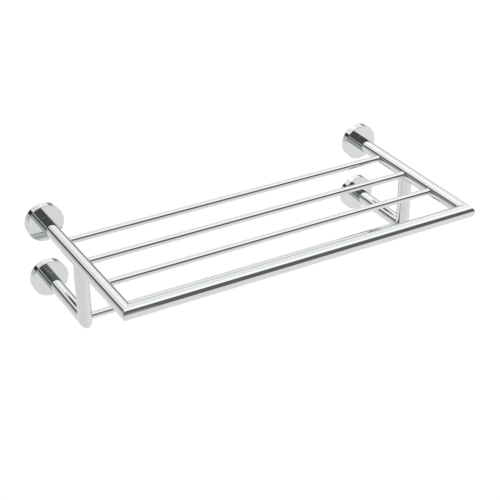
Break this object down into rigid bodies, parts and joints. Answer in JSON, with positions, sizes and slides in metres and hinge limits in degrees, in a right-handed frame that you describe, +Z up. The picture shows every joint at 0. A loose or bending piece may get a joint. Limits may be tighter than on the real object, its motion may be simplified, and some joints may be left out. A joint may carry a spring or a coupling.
{
  "type": "towel rack",
  "caption": "Wall-mounted towel rack: an open shelf of thin rods in a mitred tube frame, with a towel bar on drop posts below and round rosettes at the wall.",
  "frame": {"origin": "on the wall plane, midway between the four rosettes", "axes": "+X to the right seen from the front, +Y into the wall, +Z up; the rack stands out towards -Y"},
  "size_m": [0.585, 0.2854, 0.145],
  "materials": {
    "chrome": "polished",
    "zinc_steel": "satin",
    "insert_brass": "satin",
    "screw_steel": "satin"
  },
  "bodies": {
    "root": {"left_side_rail": "chrome", "right_side_rail": "chrome", "front_rail": "chrome", "rear_shelf_rod": "chrome", "middle_shelf_rod": "chrome", "front_shelf_rod": "chrome", "left_lower_arm": "chrome", "right_lower_arm": "chrome", "left_post": "chrome", "right_post": "chrome", "towel_bar": "chrome", "upper_left_rosette": "chrome", "upper_left_wall_bracket": "zinc_steel", "upper_left_tube_insert": "insert_brass", "upper_left_clamp_screw": "screw_steel", "upper_left_lock_washer": "screw_steel", "upper_left_grub_screw": "screw_steel", "upper_right_rosette": "chrome", "upper_right_wall_bracket": "zinc_steel", "upper_right_tube_insert": "insert_brass", "upper_right_clamp_screw": "screw_steel", "upper_right_lock_washer": "screw_steel", "upper_right_grub_screw": "screw_steel", "lower_left_rosette": "chrome", "lower_left_wall_bracket": "zinc_steel", "lower_left_tube_insert": "insert_brass", "lower_left_clamp_screw": "screw_steel", "lower_left_lock_washer": "screw_steel", "lower_left_grub_screw": "screw_steel", "lower_right_rosette": "chrome", "lower_right_wall_bracket": "zinc_steel", "lower_right_tube_insert": "insert_brass", "lower_right_clamp_screw": "screw_steel", "lower_right_lock_washer": "screw_steel", "lower_right_grub_screw": "screw_steel"}
  },
  "joints": []
}
